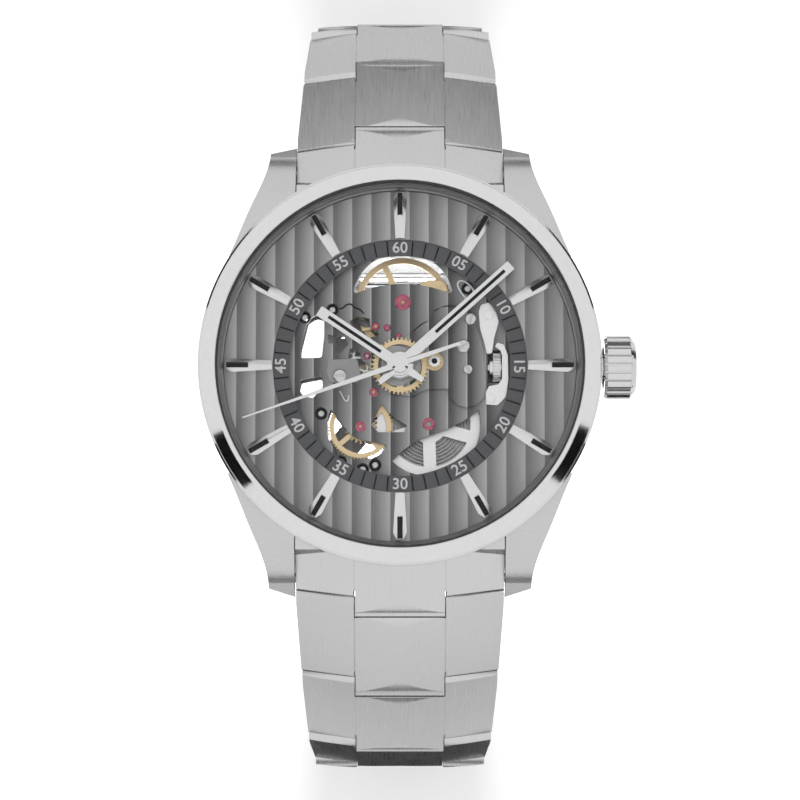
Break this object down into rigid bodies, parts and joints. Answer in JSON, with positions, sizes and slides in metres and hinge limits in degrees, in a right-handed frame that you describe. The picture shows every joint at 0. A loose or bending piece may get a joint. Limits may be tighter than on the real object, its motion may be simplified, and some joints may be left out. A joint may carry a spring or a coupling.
{
  "type": "skeleton wristwatch",
  "caption": "Automatic wristwatch with an openworked dial that shows its movement, in a round steel case on a closed three-row steel bracelet with a folding clasp.",
  "frame": {"origin": "centre of the case back's flat outer face, the face that lies on the wrist", "axes": "+Z out of the dial, +Y towards 12 o'clock along the strand, +X towards the crown"},
  "size_m": [0.0458, 0.0844, 0.0508],
  "materials": {
    "brushed_steel": "brushed",
    "link_steel": "satin brushed along the strand",
    "polished_steel": "polished",
    "crown_steel": "polished and fluted",
    "sapphire": "clear",
    "gasket": "matt",
    "flange_grey": "satin",
    "spacer": "matt",
    "dial_grey": "striped satin, dark sunk minute ring",
    "marker_steel": "faceted",
    "hand_steel": "faceted",
    "plate_grey": "striped, dark",
    "bridge_grey": "striped",
    "barrel_steel": "satin",
    "spring_steel": "satin",
    "gilt_brass": "gilt",
    "ruby": "clear red stone",
    "screw_steel": "polished",
    "rotor_steel": "striped"
  },
  "bodies": {
    "case": {"case_middle": "brushed_steel", "bezel": "polished_steel", "crystal": "sapphire", "gaskets": "gasket", "dial_flange": "flange_grey", "case_back": "brushed_steel", "back_crystal": "sapphire", "movement_ring": "spacer", "crown_tube": "polished_steel", "dial": "dial_grey", "hour_markers": "marker_steel", "main_plate": "plate_grey", "motion_bridge": "plate_grey", "train_bridge": "bridge_grey", "balance_bridge": "bridge_grey", "jewels": "ruby", "movement_screws": "screw_steel", "end_link_12": "link_steel", "end_link_6": "link_steel", "spring_bars": "polished_steel"},
    "seconds": {"seconds_hand": "hand_steel", "fourth_wheel": "gilt_brass"},
    "minute": {"minute_hand": "hand_steel", "centre_wheel": "gilt_brass"},
    "hour": {"hour_hand": "hand_steel", "hour_wheel": "gilt_brass"},
    "minute_wheel": {"minute_wheel": "gilt_brass"},
    "third_wheel": {"third_wheel": "gilt_brass"},
    "great_wheel": {"great_wheel": "gilt_brass"},
    "barrel": {"barrel": "barrel_steel", "mainspring": "spring_steel"},
    "barrel_arbor": {"barrel_arbor": "spring_steel"},
    "escape_wheel": {"escape_wheel": "spring_steel"},
    "pallet_fork": {"pallet_fork": "gilt_brass"},
    "balance": {"balance_wheel": "gilt_brass", "hairspring": "spring_steel"},
    "rotor": {"rotor": "rotor_steel"},
    "crown_seal": {"crown_gasket": "gasket"},
    "crown": {"crown": "crown_steel", "winding_stem": "polished_steel"},
    "winding_pinion": {"winding_pinion": "spring_steel"},
    "setting_lever": {"setting_lever": "barrel_steel"},
    "yoke": {"yoke": "barrel_steel"},
    "clasp_inner": {"clasp_blade_inner": "polished_steel"},
    "clasp_outer": {"clasp_blade_outer": "polished_steel"},
    "clasp_cover": {"clasp_cover": "link_steel"},
    "button_right": {"button_right": "polished_steel"},
    "button_left": {"button_left": "polished_steel"},
    "link_12_1": {"link_12_1": "link_steel"},
    "link_12_2": {"link_12_2": "link_steel"},
    "link_12_3": {"link_12_3": "link_steel"},
    "link_12_4": {"link_12_4": "link_steel"},
    "link_12_5": {"link_12_5": "link_steel"},
    "link_12_6": {"link_12_6": "link_steel"},
    "link_6_1": {"link_6_1": "link_steel"},
    "link_6_2": {"link_6_2": "link_steel"},
    "link_6_3": {"link_6_3": "link_steel"},
    "link_6_4": {"link_6_4": "link_steel"},
    "link_6_5": {"link_6_5": "link_steel"},
    "link_6_6": {"link_6_6": "link_steel"}
  },
  "joints": [
    {"name": "seconds_turn", "type": "hinge", "parent": "case", "child": "seconds", "pos_m": [0, 0, 0.009], "axis": [0, 0, -1], "continuous": true},
    {"name": "minute_turn", "type": "hinge", "parent": "case", "child": "minute", "pos_m": [0, 0, 0.0086], "axis": [0, 0, -1], "continuous": true},
    {"name": "hour_turn", "type": "hinge", "parent": "case", "child": "hour", "pos_m": [0, 0, 0.0082], "axis": [0, 0, -1], "continuous": true},
    {"name": "minute_wheel_turn", "type": "hinge", "parent": "case", "child": "minute_wheel", "pos_m": [0.0036, 0.0005, 0.0067], "axis": [0, 0, -1], "continuous": true},
    {"name": "third_wheel_turn", "type": "hinge", "parent": "case", "child": "third_wheel", "pos_m": [-0.00275, -0.0027, 0.0045], "axis": [0, 0, -1], "continuous": true},
    {"name": "great_wheel_turn", "type": "hinge", "parent": "case", "child": "great_wheel", "pos_m": [-0.00415, -0.00629, 0.0045], "axis": [0, 0, -1], "continuous": true},
    {"name": "barrel_turn", "type": "hinge", "parent": "case", "child": "barrel", "pos_m": [0.003, -0.00605, 0.0045], "axis": [0, 0, -1], "continuous": true},
    {"name": "escape_wheel_turn", "type": "hinge", "parent": "case", "child": "escape_wheel", "pos_m": [-0.00345, 0.00112, 0.0045], "axis": [0, 0, -1], "continuous": true},
    {"name": "ratchet_turn", "type": "hinge", "parent": "case", "child": "barrel_arbor", "pos_m": [0.003, -0.00605, 0.0035], "axis": [0, 0, -1], "continuous": true},
    {"name": "pallet_rock", "type": "hinge", "parent": "case", "child": "pallet_fork", "pos_m": [-0.00255, 0.00425, 0.005], "axis": [0, 0, -1], "range_deg": [-5, 5]},
    {"name": "balance_swing", "type": "hinge", "parent": "case", "child": "balance", "pos_m": [0.0003, 0.0068, 0.0044], "axis": [0, 0, -1], "range_deg": [-270, 270], "stiffness_Nm_per_rad": 0.0000006},
    {"name": "rotor_turn", "type": "hinge", "parent": "case", "child": "rotor", "pos_m": [0, 0, 0.002], "axis": [0, 0, -1], "continuous": true},
    {"name": "crown_pull", "type": "slide", "parent": "case", "child": "crown_seal", "axis": [1, 0, 0], "range_m": [0, 0.0016]},
    {"name": "crown_turn", "type": "hinge", "parent": "crown_seal", "child": "crown", "pos_m": [0.023, 0, 0.0055], "axis": [1, 0, 0], "continuous": true},
    {"name": "winding_pinion_turn", "type": "hinge", "parent": "case", "child": "winding_pinion", "pos_m": [0.01, 0, 0.0055], "axis": [1, 0, 0], "continuous": true},
    {"name": "setting_lever_tilt", "type": "hinge", "parent": "case", "child": "setting_lever", "pos_m": [0.0093, 0.0054, 0.0066], "axis": [0, 0, 1], "range_deg": [0, 6]},
    {"name": "yoke_tilt", "type": "hinge", "parent": "case", "child": "yoke", "pos_m": [0.0095, -0.0034, 0.0066], "axis": [0, 0, 1], "range_deg": [-6, 0]},
    {"name": "link_12_1_hinge", "type": "hinge", "parent": "case", "child": "link_12_1", "pos_m": [0, 0.0245, 0.003], "axis": [1, 0, 0], "range_deg": [0, 11]},
    {"name": "link_12_2_hinge", "type": "hinge", "parent": "link_12_1", "child": "link_12_2", "pos_m": [0, 0.03264, -0.00189], "axis": [1, 0, 0], "range_deg": [0, 25]},
    {"name": "link_12_3_hinge", "type": "hinge", "parent": "link_12_2", "child": "link_12_3", "pos_m": [0, 0.03862, -0.00928], "axis": [1, 0, 0], "range_deg": [0, 32]},
    {"name": "link_12_4_hinge", "type": "hinge", "parent": "link_12_3", "child": "link_12_4", "pos_m": [0, 0.0406, -0.01857], "axis": [1, 0, 0], "range_deg": [0, 37]},
    {"name": "link_12_5_hinge", "type": "hinge", "parent": "link_12_4", "child": "link_12_5", "pos_m": [0, 0.03735, -0.0275], "axis": [1, 0, 0], "range_deg": [0, 37]},
    {"name": "link_12_6_hinge", "type": "hinge", "parent": "link_12_5", "child": "link_12_6", "pos_m": [0, 0.02986, -0.03334], "axis": [1, 0, 0], "range_deg": [0, 33]},
    {"name": "link_6_1_hinge", "type": "hinge", "parent": "case", "child": "link_6_1", "pos_m": [0, -0.0245, 0.003], "axis": [-1, 0, 0], "range_deg": [0, 11]},
    {"name": "link_6_2_hinge", "type": "hinge", "parent": "link_6_1", "child": "link_6_2", "pos_m": [0, -0.03264, -0.00189], "axis": [-1, 0, 0], "range_deg": [0, 25]},
    {"name": "link_6_3_hinge", "type": "hinge", "parent": "link_6_2", "child": "link_6_3", "pos_m": [0, -0.03862, -0.00928], "axis": [-1, 0, 0], "range_deg": [0, 32]},
    {"name": "link_6_4_hinge", "type": "hinge", "parent": "link_6_3", "child": "link_6_4", "pos_m": [0, -0.0406, -0.01857], "axis": [-1, 0, 0], "range_deg": [0, 37]},
    {"name": "link_6_5_hinge", "type": "hinge", "parent": "link_6_4", "child": "link_6_5", "pos_m": [0, -0.03735, -0.0275], "axis": [-1, 0, 0], "range_deg": [0, 37]},
    {"name": "link_6_6_hinge", "type": "hinge", "parent": "link_6_5", "child": "link_6_6", "pos_m": [0, -0.02986, -0.03334], "axis": [-1, 0, 0], "range_deg": [0, 33]},
    {"name": "clasp_hinge", "type": "hinge", "parent": "link_6_6", "child": "clasp_inner", "pos_m": [0, -0.02051, -0.03499], "axis": [-1, 0, 0], "range_deg": [0, 60]},
    {"name": "clasp_unfold", "type": "hinge", "parent": "clasp_inner", "child": "clasp_outer", "pos_m": [0, 0.01551, -0.03589], "axis": [1, 0, 0], "range_deg": [0, 150]},
    {"name": "clasp_cover_hinge", "type": "hinge", "parent": "clasp_outer", "child": "clasp_cover", "pos_m": [0, -0.01551, -0.03719], "axis": [-1, 0, 0], "range_deg": [0, 170]},
    {"name": "button_right_press", "type": "slide", "parent": "clasp_cover", "child": "button_right", "axis": [-1, 0, 0], "range_m": [0, 0.0006], "stiffness_N_per_m": 800, "springref_m": -0.0008},
    {"name": "button_left_press", "type": "slide", "parent": "clasp_cover", "child": "button_left", "axis": [1, 0, 0], "range_m": [0, 0.0006], "stiffness_N_per_m": 800, "springref_m": -0.0008}
  ],
  "couplings": [
    {"joint": "minute_turn", "follows": "seconds_turn", "ratio": 0.016667},
    {"joint": "hour_turn", "follows": "seconds_turn", "ratio": 0.0013889},
    {"joint": "minute_wheel_turn", "follows": "seconds_turn", "ratio": -0.0055556},
    {"joint": "third_wheel_turn", "follows": "seconds_turn", "ratio": -0.11111},
    {"joint": "great_wheel_turn", "follows": "seconds_turn", "ratio": 0.016667},
    {"joint": "barrel_turn", "follows": "seconds_turn", "ratio": -0.0046296},
    {"joint": "escape_wheel_turn", "follows": "seconds_turn", "ratio": -12},
    {"joint": "winding_pinion_turn", "follows": "crown_turn", "ratio": 1},
    {"joint": "setting_lever_tilt", "follows": "crown_pull", "rad_per_m": 60},
    {"joint": "yoke_tilt", "follows": "crown_pull", "rad_per_m": -60},
    {"joint": "clasp_cover_hinge", "follows": "clasp_unfold", "ratio": 1.1333}
  ]
}
